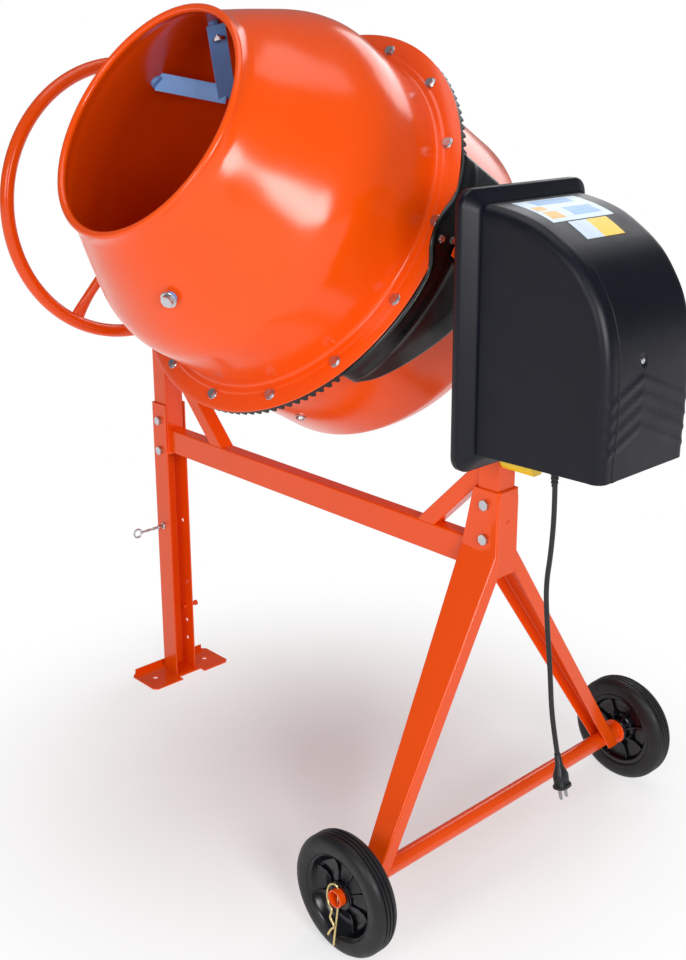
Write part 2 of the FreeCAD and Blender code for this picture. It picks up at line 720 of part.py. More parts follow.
def make_gears():
    """A crown gear between the drum's flanges and the small pinion that drives it."""
    module, teeth = number(gear_module), int(number(ring_teeth))
    low, high, root = number(pitch_drop) - number(tooth_rise), 38.0, 32.1
    inside, step, rim = number(drum_radius) - number(shell), 321.0, 335.5
    outline = Part.makePolygon([Vector(inside, 0, 34), Vector(step, 0, 34), Vector(step, 0, root),
                                Vector(rim, 0, root), Vector(rim, 0, high), Vector(inside, 0, high),
                                Vector(inside, 0, 34)])
    blank = Part.Face(outline).revolve(Vector(), Z_AXIS, 360)
    tip = module * math.pi / 4 - 0.45 - number(tooth_rise) * math.tan(math.radians(20))
    foot = tip + (root + 0.7 - low) * math.tan(math.radians(20))
    teeth_round = []
    tooth = prism([Vector(step + 0.8, -foot, root + 0.7), Vector(step + 0.8, foot, root + 0.7),
                   Vector(step + 0.8, tip, low), Vector(step + 0.8, -tip, low)],
                  Vector(rim - step - 1.1, 0, 0))
    for i in range(teeth):
        copy = tooth.copy()
        copy.rotate(Vector(), Z_AXIS, 360.0 * (i + 0.5) / teeth)
        teeth_round.append(copy)
    drills = [Part.makeCylinder(4.2, 8, Vector(number(x), number(y), 32)) for x, y in around_flange()]
    drum_part("ring_gear", solid(blank.cut(drills).multiFuse(teeth_round)))

    count = int(number(pinion_teeth))
    pitch = number(pitch_drop)
    root_radius, tip_radius = pitch - 4.6, pitch + number(tooth_rise)
    corners = []
    for i in range(count):
        middle = 2 * math.pi * i / count
        for radius, half in ((root_radius, 3.75), (pitch - 1.2, 3.62), (pitch + 1.2, 2.95),
                             (tip_radius, 1.75), (tip_radius, -1.75), (pitch + 1.2, -2.95),
                             (pitch - 1.2, -3.62), (root_radius, -3.75)):
            angle = middle - half / radius
            corners.append(Vector(322, radius * math.sin(angle), radius * math.cos(angle)))
    pinion = prism(corners, Vector(15, 0, 0)).cut(
        Part.makeCylinder(number(shaft_radius), 20, Vector(320, 0, 0), X_AXIS))
    drum_part("pinion", solid(pinion))
    part("pinion_shaft", rod(0, 0, 0, "z", shaft_radius, 194), 308, 0, tilt_height, ALONG["x"])


def make_paddles():
    """Two bent blades inside the drum, half a turn apart, each on a bracket and a foot."""
    bolts = []
    doc.recompute()
    shell_shape = parts["drum_front"].Shape.copy()
    shell_shape.Placement = Placement()
    for name, angle in (("upper_blade", 0), ("lower_blade", 180)):
        spin = Rotation(Z_AXIS, angle)

        def at(x, y, z):
            return spin.multVec(Vector(x, y, z))

        top, elbow, end = at(-86, 207, 250), at(-141, 155, 150), at(-222, 130, 232)
        wall, out = at(-96, 226, 262), at(-0.33, 0.78, 0.53)
        out.normalize()
        first = strap(top + (top - elbow) * 0.14, elbow - (top - elbow) * 0.06, 30, 3, out)
        second = strap(elbow, end, 30, 3, at(0.716, -0.305, 0.613))
        sleeve = Part.makeCylinder(9, 24.5, wall - out * 22, out)
        foot = Part.makeCylinder(11, 8, end + at(4, -2, -3), at(-0.72, 0.42, 0.55))
        blade = first.fuse(second).fuse(sleeve).fuse(foot)
        blade = blade.cut(Part.makeCylinder(3.7, 80, wall - out * 50, out)).cut(shell_shape)
        drum_part(name, solid(max(blade.Solids, key=lambda piece: piece.Volume)))
        screw = Part.makeCylinder(8, 4, wall + out * 6.2, out)
        screw = screw.fuse(Part.makeCylinder(3.5, 43, wall - out * 35, out))
        bolts.append(solid(screw.fuse(Part.makeCylinder(7, 4, wall - out * 38, out))))
    drum_part("blade_bolts", group(*bolts))


def make_guard():
    """The curved cover over the gear mesh, carried by the right arm."""
    inner = arm_inner - 6.5
    sleeve = cut(rod(0, 0, -110, "z", inner + 2, 180), rod(0, 0, -111, "z", inner, 182))
    outline = [(-226, 2), (-228, 36), (-60, 36), (-30, 45), (-12, 62), (38, 59), (68, 46), (144, 36),
               (144, -60), (80, -92), (0, -95), (-88, -75), (-150, -47), (-208, -21)]
    panel = common(sleeve, padded("YZ_Plane", outline, 800))
    half = box(-400, -400, -400, 400, 800, 800)
    opening = rod(300, 0, 0, "x", 13, 60)
    holes = [rod(300, y, z, "x", 3.2, 60) for y, z in GUARD_SCREWS]
    drum_part("gear_guard", cut(panel, half, opening, *holes))
    screws = []
    for y, z in GUARD_SCREWS:
        screws.append(fuse(hexagon(arm_inner - 9.8, y, z, "x", 10, 3), rod(arm_inner - 7, y, z, "x", 3, 7)))
    for y, z in ((0, 47), (8, 25)):
        screws.append(rod(arm_inner - 4.5, y, z, "x", 5, 3.5))
    drum_part("guard_screws", group(*screws))


# ---------------------------------------------------------------- motor case


def make_case():
    plate = plate_x
    bore = rod(440, 0, tilt_height, "x", trunnion_radius + 0.4, 40)
    holes = [rod(440, y, z, "x", 3.3, 40) for y, z in PLATE_SCREWS]
    part("motor_plate", cut(box(plate - 5, -70, 685, 5, 140, 350), bore, *holes))
    back = round_plate(plate, 8, case_half, case_low, case_high, 25)
    pillar = cut(rod(plate + 4, -19, 861, "x", 8, cover_reach - 10 - plate),
                 rod(640, -19, 861, "x", 2.5, 60))
    part("case_back", cut(fuse(back, pillar), bore, *holes))

    face = plate + 8
    lip = round_plate(face, lip_depth, case_half, case_low, case_high, 25)
    reach, low, high = cover_reach, cover_low, cover_high
    outer = [(face, low), (face, high + 1), (520, high - 5), (564, 1033), (614, 1004), (647, 977),
             (676, 921), (685, 884), (reach, 826), (reach - 3, 719), (reach - 3, low)]
    hollow = [(face - 5, low + 3), (face - 5, high - 2.5), (519, high - 8.5), (562.5, 1029.5),
              (611.5, 1001), (644.5, 975), (673, 920), (682, 883.5), (reach - 3, 826),
              (reach - 6, 719), (reach - 6, low + 3)]
    taper = [(face - 10, -cover_half), (reach + 5, -cover_end_half), (reach + 5, cover_end_half),
             (face - 10, cover_half)]
    narrow = [(face - 10, 3 - cover_half), (reach + 5, 3 - cover_end_half),
              (reach + 5, cover_end_half - 3), (face - 10, cover_half - 3)]
    shell_body = common(padded("XZ_Plane", outer, 240), padded("XY_Plane", taper, 2400))
    room = common(padded("XZ_Plane", hollow, 240), padded("XY_Plane", narrow, 2400))
    switch = box(531, 90, 845, 50, 30, 54)
    openings = [rod(581, -60, 690, "z", 8, 30), rod(640, -19, 861, "x", 3, 60), switch]
    part("case_cover", cut(fuse(lip, shell_body), room, *openings))
    cover_screw = fuse(rod(reach - 0.2, -19, 861, "x", 6.5, 2), rod(650, -19, 861, "x", 2.5, 38))
    screws = [fuse(hexagon(plate - 9, y, z, "x", 10, 4), rod(plate - 5.5, y, z, "x", 3, 13.4))
              for y, z in PLATE_SCREWS]
    part("case_screws", group(cover_screw, *screws))


def make_switch():
    """The rocker switch on the far side of the case."""
    well = box(540, 108, 854, 32, 12, 36)
    housing = fuse(box(531.2, 92, 845.2, 49.6, 24, 53.6), box(526, 107.7, 840, 60, 7.8, 64))
    part("switch_housing", cut(housing, well))
    level = [(4, -16), (2.1, 0), (4, 16), (-2, 15.5), (-5.5, 0), (-2, -15.5)]
    pressed = math.radians(6)
    side = [(y * math.cos(pressed) - z * math.sin(pressed), y * math.sin(pressed) + z * math.cos(pressed))
            for y, z in level]
    rocker = fuse(padded("YZ_Plane", side, 30), rod(-15.7, 0, 0, "x", 2, 31.4))
    part("switch_rocker", rocker, 556, 114.5, 872)


def make_drive():
    """Motor, two pulleys and the belt between them, all inside the case."""
    tilt, shaft = tilt_height, shaft_radius
    case_face = plate_x + 8
    top = motor_height - motor_radius
    body = fuse(rod(500, 0, motor_height, "x", motor_radius, 140),
                box(515, -52, top - 4, 105, 104, 24))
    part("motor", cut(body, rod(499, 0, motor_height, "x", 7 + running_gap, 62)))
    shelf = fuse(box(case_face, -62, top - 8, 180, 124, 4), box(case_face, -62, top - 8, 4, 124, 40))
    part("motor_shelf", shelf)
    part("motor_shaft", rod(0, 0, 0, "z", 7, 86), 472, 0, motor_height, ALONG["x"])

    def pulley(name, height, seat, edge, bore):
        rim = [rod(474, 0, height, "x", edge, 2.5), rod(476, 0, height, "x", seat, 16),
               rod(491.5, 0, height, "x", edge, 2.5)]
        part(name, cut(fuse(*rim), rod(473, 0, height, "x", bore, 22)))

    pulley("large_pulley", tilt, pulley_radius, pulley_radius + 8, shaft)
    pulley("motor_pulley", motor_height, motor_pulley_radius, motor_pulley_radius + 8, 7)

    gap = 0.3
    distance = tilt - motor_height

    def loop(extra, x, width):
        big, small = pulley_radius + extra, motor_pulley_radius + extra
        sine = number((big - small) / distance)
        cosine = math.sqrt(1 - sine * sine)
        side = [(big * cosine, tilt + big * -sine), (small * cosine, motor_height + small * -sine),
                (-1 * small * cosine, motor_height + small * -sine), (-1 * big * cosine, tilt + big * -sine)]
        straps = padded("YZ_Plane", side, width)
        place(straps, x, 0, 0)
        return fuse(straps, rod(x - width / 2, 0, tilt, "x", big, width),
                    rod(x - width / 2, 0, motor_height, "x", small, width))

    part("drive_belt", cut(loop(belt_thickness + gap, 484, belt_width), loop(as_size(gap), 484, belt_width + 4)))


def make_cord():
    route = [(581, -60, 708), (584, -60, 645), (581, -60, 575), (574, -60, 520), (580, -60, 460),
             (589, -60, 390), (594, -60, 335), (603, -60, 290), (611.5, -60, 255)]
    radius = number(cord_radius)
    tube, length, radii = bent_rod(route, radius)
    print("cord bends", ["%.0f" % r for r in radii])
    print("cord volume %.0f, section times length %.0f" % (tube.Volume, math.pi * radius ** 2 * length))
    part("power_cord", solid(tube))
    part("cord_gland", cut(fuse(rod(581, -60, 693, "z", 7.9, 22), rod(581, -60, 695, "z", 11, 10)),
                           rod(581, -60, 690, "z", cord_radius + 1, 30)))
    start = Vector(*route[-1])
    along = start - Vector(*route[-2])
    along.normalize()
    plug = Part.makeCone(5.5, 9, 16, start, along).fuse(Part.makeCylinder(13, 22, start + along * 16, along))
    turn = Rotation(Z_AXIS, along)
    for x, y in ((-6, -5), (-6, 5), (6, 0)):
        blade = Part.makeBox(1.6, 5.5, 17, Vector(x - 0.8, y - 2.75, 37.5))
        blade.Placement = Placement(start, turn)
        plug = plug.fuse(blade)
    part("plug", solid(plug))


make_posts()
make_beam_and_braces()
make_stand()
make_height_pin()
make_legs()
make_axle()
make_hairpins()
make_wheels()
make_yoke()
make_trunnions()
make_handwheel()
make_drum()
make_gears()
make_paddles()
make_guard()
make_case()
make_switch()
make_drive()
make_cord()

doc.recompute()
for thing in doc.Objects:
    if "Invalid" in thing.State or "Error" in thing.State:
        raise RuntimeError("%s (%s) failed: %s" % (thing.Name, thing.Label, thing.State))
for name, thing in parts.items():
    if thing.Shape.isNull() or not thing.Shape.isValid():
        raise RuntimeError(name + " has no valid shape")

os.makedirs("parts", exist_ok=True)
for name, thing in parts.items():
    thing.Shape.exportStep("parts/%s.step" % name)
print("%d sub-parts written" % len(parts))
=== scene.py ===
import json
import math
import bmesh
import bpy
from mathutils import Matrix, Vector


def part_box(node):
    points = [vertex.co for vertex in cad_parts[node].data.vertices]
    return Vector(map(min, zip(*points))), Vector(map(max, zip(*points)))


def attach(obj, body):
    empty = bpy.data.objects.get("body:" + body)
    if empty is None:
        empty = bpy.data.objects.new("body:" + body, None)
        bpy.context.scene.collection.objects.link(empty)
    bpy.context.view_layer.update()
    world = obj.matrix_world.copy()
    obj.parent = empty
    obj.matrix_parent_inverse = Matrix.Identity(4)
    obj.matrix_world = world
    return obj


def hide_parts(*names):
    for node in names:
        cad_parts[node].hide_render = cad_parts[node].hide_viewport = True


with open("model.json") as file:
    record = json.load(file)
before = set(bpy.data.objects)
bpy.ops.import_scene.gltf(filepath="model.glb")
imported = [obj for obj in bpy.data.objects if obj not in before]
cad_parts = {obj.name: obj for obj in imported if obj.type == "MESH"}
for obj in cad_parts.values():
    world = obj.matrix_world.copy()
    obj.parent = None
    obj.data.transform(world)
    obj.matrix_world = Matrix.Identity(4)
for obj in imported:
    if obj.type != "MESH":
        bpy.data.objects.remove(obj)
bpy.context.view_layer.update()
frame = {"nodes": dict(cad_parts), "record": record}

# Shapes below are in millimetres about the point on the floor under the drum's centre, with X
# along the tilt axis and the mouth towards -Y.  TO_ROW turns them into the frame's metres.
# RISE is the angle of the drum's axis above level, in degrees, and DRUM_AXES has Z along it.
DRUM_LOW, DRUM_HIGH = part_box("drum_front")
STUB_LOW, STUB_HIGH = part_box("left_trunnion")
MM = 0.001
ORIGIN = Vector(((DRUM_LOW.x + DRUM_HIGH.x) / 2, (STUB_LOW.y + STUB_HIGH.y) / 2, 0)) / MM
TILT = (STUB_LOW.z + STUB_HIGH.z) / 2 / MM
RISE = 31.5
TO_ROW = Matrix.Scale(MM, 4) @ Matrix.Translation(ORIGIN)
DRUM_AXES = Matrix.Translation((0, 0, TILT)) @ Matrix.Rotation(math.radians(90 - RISE), 4, "X")
ALONG_X = Matrix.Rotation(math.radians(90), 4, "Y")
ALONG_Y = Matrix.Rotation(math.radians(-90), 4, "X")
POST_LEFT, POST_RIGHT = -415, 427
SLEEVE_HALF = 24
STAND_BOLTS, LEG_BOLTS = (483, 544), (539, 594)
PIN_HEIGHT = 325
AXLE_X, AXLE_Z = 453, 91.5
WHEEL_Y = 335


# ---------------------------------------------------------------- materials


def linear(*levels):
    """A colour given as 0-255 display levels, in the shader's own terms."""
    return tuple((level / 255) ** 2.2 for level in levels) + (1,)


def finish(name, colour, rough, metal=0.0, mottle=0.08, mottle_size=6, grain=900,
           grain_depth=0.02, rough_spread=0.06, gloss=0.5):
    """A painted, moulded or plated surface: mottled colour, uneven gloss and a fine grain."""
    paint = bpy.data.materials.new(name)
    paint.use_nodes = True
    nodes, links = paint.node_tree.nodes, paint.node_tree.links
    shader = nodes["Principled BSDF"]
    shader.inputs["Metallic"].default_value = metal
    shader.inputs["Specular IOR Level"].default_value = gloss
    place = nodes.new("ShaderNodeTexCoord")

    def noise(scale, detail):
        node = nodes.new("ShaderNodeTexNoise")
        node.inputs["Scale"].default_value = scale
        node.inputs["Detail"].default_value = detail
        links.new(place.outputs["Object"], node.inputs["Vector"])
        return node

    patches = noise(mottle_size, 5)
    ramp = nodes.new("ShaderNodeValToRGB")
    ramp.color_ramp.elements[0].position = 0.3
    ramp.color_ramp.elements[1].position = 0.7
    ramp.color_ramp.elements[0].color = tuple(c * (1 - mottle) for c in colour[:3]) + (1,)
    ramp.color_ramp.elements[1].color = tuple(min(1, c * (1 + mottle)) for c in colour[:3]) + (1,)
    links.new(patches.outputs["Fac"], ramp.inputs["Fac"])
    links.new(ramp.outputs["Color"], shader.inputs["Base Color"])

    smears = noise(mottle_size * 3.7, 6)
    spread = nodes.new("ShaderNodeMapRange")
    spread.inputs["From Min"].default_value = 0.3
    spread.inputs["From Max"].default_value = 0.7
    spread.inputs["To Min"].default_value = max(0.02, rough - rough_spread)
    spread.inputs["To Max"].default_value = rough + rough_spread
    links.new(smears.outputs["Fac"], spread.inputs["Value"])
    links.new(spread.outputs["Result"], shader.inputs["Roughness"])

    fine = noise(grain, 3)
    bump = nodes.new("ShaderNodeBump")
    bump.inputs["Strength"].default_value = 0.35
    bump.inputs["Distance"].default_value = grain_depth * MM
    links.new(fine.outputs["Fac"], bump.inputs["Height"])
    links.new(bump.outputs["Normal"], shader.inputs["Normal"])
    return paint


ORANGE = finish("orange_enamel", linear(236, 79, 12), 0.19, mottle=0.035, mottle_size=4, grain=320,
                grain_depth=0.03, rough_spread=0.03, gloss=0.42)
ZINC = finish("zinc", linear(196, 198, 202), 0.3, metal=1.0, mottle=0.12, mottle_size=40,
              grain=1500)
GILT = finish("gilt_wire", linear(222, 196, 140), 0.32, metal=0.9, mottle=0.1, mottle_size=60)
IRON = finish("cast_iron", linear(22, 22, 25), 0.5, mottle=0.3, mottle_size=30, grain=600,
              grain_depth=0.12)
BLADE = finish("blade_steel", linear(118, 176, 250), 0.5, mottle=0.12, mottle_size=14)
PLASTIC = finish("case_plastic", linear(12, 14, 26), 0.4, mottle=0.15, mottle_size=5, grain=2600,
                 grain_depth=0.05, gloss=0.3)
GUARD = finish("guard_plastic", linear(4, 3, 8), 0.3, mottle=0.2, mottle_size=9, grain=2200,
               grain_depth=0.04)
GREEN = finish("switch_green", linear(40, 128, 62), 0.35)
RUBBER = finish("tyre_rubber", linear(10, 10, 16), 0.5, mottle=0.25, mottle_size=18, grain=1400,
                grain_depth=0.12)
WHEEL = finish("wheel_plastic", linear(12, 13, 20), 0.24, mottle=0.2, mottle_size=12, grain=1800)
STEEL = finish("plate_steel", linear(150, 152, 156), 0.38, metal=0.9, mottle=0.15, mottle_size=20)
MOTOR = finish("motor_paint", linear(90, 96, 104), 0.5, mottle=0.12, mottle_size=10)
BELT = finish("belt_rubber", linear(26, 26, 27), 0.7, mottle=0.25, mottle_size=30)
CORD = finish("cord_rubber", linear(24, 24, 28), 0.45, mottle=0.2, mottle_size=50, grain=1600)
PALE = finish("label_pale", linear(206, 222, 240), 0.35, mottle=0.05, mottle_size=30)
SKY = finish("label_blue", linear(120, 172, 224), 0.35, mottle=0.08, mottle_size=30)
MUSTARD = finish("label_mustard", linear(226, 168, 26), 0.35, mottle=0.08, mottle_size=30)
YELLOW = finish("label_yellow", linear(250, 204, 40), 0.35, mottle=0.06, mottle_size=30)
PAINTS = {"orange_enamel": ORANGE, "zinc": ZINC, "gilt_wire": GILT, "cast_iron": IRON,
          "blade_steel": BLADE, "case_plastic": PLASTIC, "switch_green": GREEN,
          "tyre_rubber": RUBBER, "wheel_plastic": WHEEL, "plate_steel": STEEL,
          "motor_paint": MOTOR, "belt_rubber": BELT, "cord_rubber": CORD}


# ---------------------------------------------------------------- outlines and meshes


def soften(points, reach, steps=4):
    """A closed outline whose corners are rounded off, each by up to the given reach."""
    points = [Vector(p) for p in points]
    smooth = []
    for i, corner in enumerate(points):
        before, after = points[i - 1] - corner, points[(i + 1) % len(points)] - corner
        size = min(reach, before.length * 0.45, after.length * 0.45)
        start, end = corner + before.normalized() * size, corner + after.normalized() * size
        for k in range(steps + 1):
            part = k / steps
            smooth.append(start * (1 - part) ** 2 + corner * 2 * part * (1 - part)
                          + end * part ** 2)
    return smooth


def through(points, steps=6):
    """A smooth open curve through a few points."""
    points = [Vector(p) for p in points]
    ends = [points[0] * 2 - points[1]] + points + [points[-1] * 2 - points[-2]]
    curve = []
    for a, b, c, d in zip(ends, ends[1:], ends[2:], ends[3:]):
        for k in range(steps):
            u = k / steps
            curve.append((b * 2 + (c - a) * u + (a * 2 - b * 5 + c * 4 - d) * u ** 2
                          + (b * 3 - a - c * 3 + d) * u ** 3) / 2)
    return curve + [points[-1]]


def arc(centre, radius, start, end, steps):
    """Points of a circular arc in an outline, between two angles in degrees."""
    turns = [math.radians(start + (end - start) * k / steps) for k in range(steps + 1)]
    return [Vector((centre[0] + radius * math.cos(a), centre[1] + radius * math.sin(a)))
            for a in turns]


def skin(mesh, loops, wrap=False, closed=True, cap=False):
    """Faces between neighbouring loops of points; wrap also joins the last loop to the first."""
    rings = [[mesh.verts.new(p) for p in loop] for loop in loops]
    count = len(rings[0])
    pairs = list(zip(rings, rings[1:])) + ([(rings[-1], rings[0])] if wrap else [])
    for near, far in pairs:
        for i in range(count if closed else count - 1):
            j = (i + 1) % count
            mesh.faces.new((near[i], near[j], far[j], far[i]))
    if cap:
        mesh.faces.new(rings[0][::-1])
        mesh.faces.new(rings[-1])
    return rings


def turn(mesh, outline, place=Matrix(), steps=96):
    """A ring turned about the local Z axis from a closed outline of (radius, height)."""
    loops = []
    for i in range(steps):
        a = 2 * math.pi * i / steps
        loops.append([place @ Vector((p[0] * math.cos(a), p[0] * math.sin(a), p[1]))
                      for p in outline])
    skin(mesh, loops, wrap=True)


def pillar(mesh, outline, place=Matrix(), steps=48):
    """A solid turned about the local Z axis from (radius, height) points, bottom to top."""
    loops = []
    for radius, height in outline:
        loops.append([place @ Vector((radius * math.cos(2 * math.pi * i / steps),
                                      radius * math.sin(2 * math.pi * i / steps), height))
                      for i in range(steps)])
    skin(mesh, loops, cap=True)


def hex_head(mesh, place, across, height):
    """A hexagonal head or nut with its corners turned off, from the local XY plane up."""
    loops = []
    steps = 36
    corner = across * 0.575
    for part, level in ((1.0, 0.0), (1.0, height * 0.78), (0.93, height)):
        loop = []
        for i in range(steps):
            a = 2 * math.pi * i / steps
            flat = across / 2 / math.cos((a + math.pi / 6) % (math.pi / 3) - math.pi / 6)
            radius = min(flat, corner * part)
            loop.append(place @ Vector((radius * math.cos(a), radius * math.sin(a), level)))
        loops.append(loop)
    skin(mesh, loops, cap=True)


def screw(mesh, place, across, head, washer=0.0, shank=4.0, length=20.0, nut=True):
    """A hexagon bolt: its head stands up from the local origin, its shank goes down to a nut."""
    lift = 1.6 if washer else 0.0
    if washer:
        pillar(mesh, [(washer - 0.4, 0), (washer, 0.5), (washer, 1.1), (washer - 0.6, 1.6)],
               place, 32)
    hex_head(mesh, place @ Matrix.Translation((0, 0, lift)), across, head - lift)
    pillar(mesh, [(shank, -length), (shank, 0.1)], place, 16)
    if nut:
        hex_head(mesh, place @ Matrix.Translation((0, 0, -length)), across, head * 0.8)


def sweep(mesh, points, radius, steps=6, sides=14, ends=True):
    """A round wire along a smooth curve through the points."""
    line = through(points, steps)
    forward = (line[1] - line[0]).normalized()
    across = forward.orthogonal().normalized()
    loops = []
    for i, spot in enumerate(line):
        ahead = (line[min(i + 1, len(line) - 1)] - line[max(i - 1, 0)]).normalized()
        across = (across - ahead * across.dot(ahead)).normalized()
        other = ahead.cross(across)
        loops.append([spot + (across * math.cos(2 * math.pi * k / sides)
                              + other * math.sin(2 * math.pi * k / sides)) * radius
                      for k in range(sides)])
    skin(mesh, loops, cap=ends)


def piece(name, mesh, body, slot, paint, *nodes, crease=35, in_row=False):
    """Turns a mesh into a finished object that moves with a body and stands for CAD nodes."""
    if not in_row:
        mesh.transform(TO_ROW)
    bmesh.ops.recalc_face_normals(mesh, faces=mesh.faces)
    data = bpy.data.meshes.new(name)
    mesh.to_mesh(data)
    mesh.free()
    data.materials.append(paint)
    data.shade_smooth()
    data.set_sharp_from_angle(angle=math.radians(crease))
    thing = bpy.data.objects.new(name, data)
    bpy.context.scene.collection.objects.link(thing)
    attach(thing, body)
    if nodes:
        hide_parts(*nodes)
    return thing


def pressed(node, body, slot, edge=1.2, shortest=7.0, bend=0.0):
    """Stands for a CAD node whose sharp edges are rounded, as on bent sheet, tube and castings.

    Edges below the shortest length stay sharp.  Edges between two broad faces get the larger
    radius of a bend, if one is given.
    """
    mesh = bmesh.new()
    mesh.from_mesh(frame["nodes"][node].data)
    bmesh.ops.remove_doubles(mesh, verts=mesh.verts, dist=0.00002)
    bmesh.ops.dissolve_limit(mesh, angle_limit=math.radians(1.5), verts=mesh.verts,
                             edges=mesh.edges)

    def sharp(least_width):
        return [e for e in mesh.edges if len(e.link_faces) == 2 and e.calc_length() > shortest * MM
                and e.calc_face_angle(0) > math.radians(30)
                and min(f.calc_area() for f in e.link_faces) > e.calc_length() * least_width * MM]

    broad = 14
    for radius, width in ((bend, broad), (edge, 0)):
        edges = sharp(width)
        if radius and edges:
            bmesh.ops.bevel(mesh, geom=edges, offset=radius * MM, offset_type="OFFSET", segments=4,
                            profile=0.5, affect="EDGES", clamp_overlap=False)
    bmesh.ops.remove_doubles(mesh, verts=mesh.verts, dist=0.00002)
    big = [f for f in mesh.faces if len(f.verts) > 4]
    bmesh.ops.triangulate(mesh, faces=big)
    thing = piece(node + "_formed", mesh, body, slot, PAINTS[slot], node, crease=30, in_row=True)
    hold = thing.modifiers.new("Flat faces", "WEIGHTED_NORMAL")
    hold.keep_sharp = True


def frame_slot(node):
    """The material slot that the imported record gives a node."""
    for part in frame["record"]["subparts"]:
        if part["node"] == node:
            return part.get("material_slot", "orange_enamel")
    return "orange_enamel"


# ---------------------------------------------------------------- camera, light and floor


def make_camera(scene):
    """The camera, which stands where the photo was taken from."""
    lens = bpy.data.cameras.new("camera")
    lens.lens = 48.4
    lens.shift_x = -0.0412
    lens.shift_y = -0.0618
    camera = bpy.data.objects.new("camera", lens)
    scene.collection.objects.link(camera)
    camera.matrix_world = (Matrix.Translation(TO_ROW @ Vector((1611.4, -1402.4, 1262.3)))
                           @ Matrix.Rotation(math.radians(45.536), 4, "Z")
                           @ Matrix.Rotation(math.radians(73.453), 4, "X")
                           @ Matrix.Rotation(math.radians(0.262), 4, "Z"))
    scene.camera = camera
    scene.view_settings.view_transform = "Standard"


def make_light(scene):
    """A dim cool room seen as white paper by the camera, and four softboxes."""
    world = bpy.data.worlds.new("studio")
    world.use_nodes = True
    nodes, links = world.node_tree.nodes, world.node_tree.links
    room = nodes["Background"]
    room.inputs["Color"].default_value = (0.88, 0.94, 1, 1)
    room.inputs["Strength"].default_value = 0.22
    paper = nodes.new("ShaderNodeBackground")
    paper.inputs["Color"].default_value = (1, 1, 1, 1)
    rays = nodes.new("ShaderNodeLightPath")
    pick = nodes.new("ShaderNodeMixShader")
    links.new(rays.outputs["Is Camera Ray"], pick.inputs["Fac"])
    links.new(room.outputs["Background"], pick.inputs[1])
    links.new(paper.outputs["Background"], pick.inputs[2])
    links.new(pick.outputs["Shader"], nodes["World Output"].inputs["Surface"])
    scene.world = world

    def softbox(name, spot, aim, width, height, power):
        lamp = bpy.data.lights.new(name, "AREA")
        lamp.shape = "RECTANGLE"
        lamp.size = width
        lamp.size_y = height
        lamp.energy = power
        holder = bpy.data.objects.new(name, lamp)
        scene.collection.objects.link(holder)
        holder.location = spot
        holder.rotation_euler = (Vector(aim) - Vector(spot)).to_track_quat("-Z", "Y").to_euler()

    softbox("key", (2.3, -1.05, 1.38), (0.1, 0, 0.95), 0.8, 0.75, 33)
    softbox("front", (0.9, -2.6, 1.5), (0, 0, 0.7), 0.9, 0.9, 20)
    softbox("back", (-0.6, 2.4, 2.2), (0, 0, 0.8), 1.6, 1.6, 22)
    softbox("top", (0, 0, 3.6), (0, 0, 0.9), 2.2, 2.2, 30)


def make_floor(scene):
    """A white floor that takes shadows near the object and fades to plain white around it."""
    floor = bmesh.new()
    sides = 48
    rings = [[Vector((radius * math.cos(2 * math.pi * i / sides),
                      radius * math.sin(2 * math.pi * i / sides), 0)) for i in range(sides)]
             for radius in (0.5, 2, 6, 14)]
    skin(floor, rings)
    floor.faces.new(floor.verts[:sides])
    data = bpy.data.meshes.new("floor")
    floor.to_mesh(data)
    floor.free()
    white = finish("floor_white", (0.93, 0.93, 0.93, 1), 0.85, mottle=0.01, gloss=0.1)
    nodes, links = white.node_tree.nodes, white.node_tree.links
    where = nodes.new("ShaderNodeTexCoord")
    distance = nodes.new("ShaderNodeVectorMath")
    distance.operation = "LENGTH"
    fade = nodes.new("ShaderNodeMapRange")
    fade.interpolation_type = "SMOOTHSTEP"
    fade.inputs["From Min"].default_value = 0.0
    fade.inputs["From Max"].default_value = 0.85
    glow = nodes.new("ShaderNodeEmission")
    blend = nodes.new("ShaderNodeMixShader")
    links.new(where.outputs["Object"], distance.inputs[0])
    links.new(distance.outputs["Value"], fade.inputs["Value"])
    links.new(fade.outputs["Result"], blend.inputs["Fac"])
    links.new(nodes["Principled BSDF"].outputs["BSDF"], blend.inputs[1])
    links.new(glow.outputs["Emission"], blend.inputs[2])
    links.new(blend.outputs["Shader"], nodes["Material Output"].inputs["Surface"])
    data.materials.append(white)
    ground = bpy.data.objects.new("floor", data)
    scene.collection.objects.link(ground)
    ground.location.z = -0.0005


# ---------------------------------------------------------------- cord


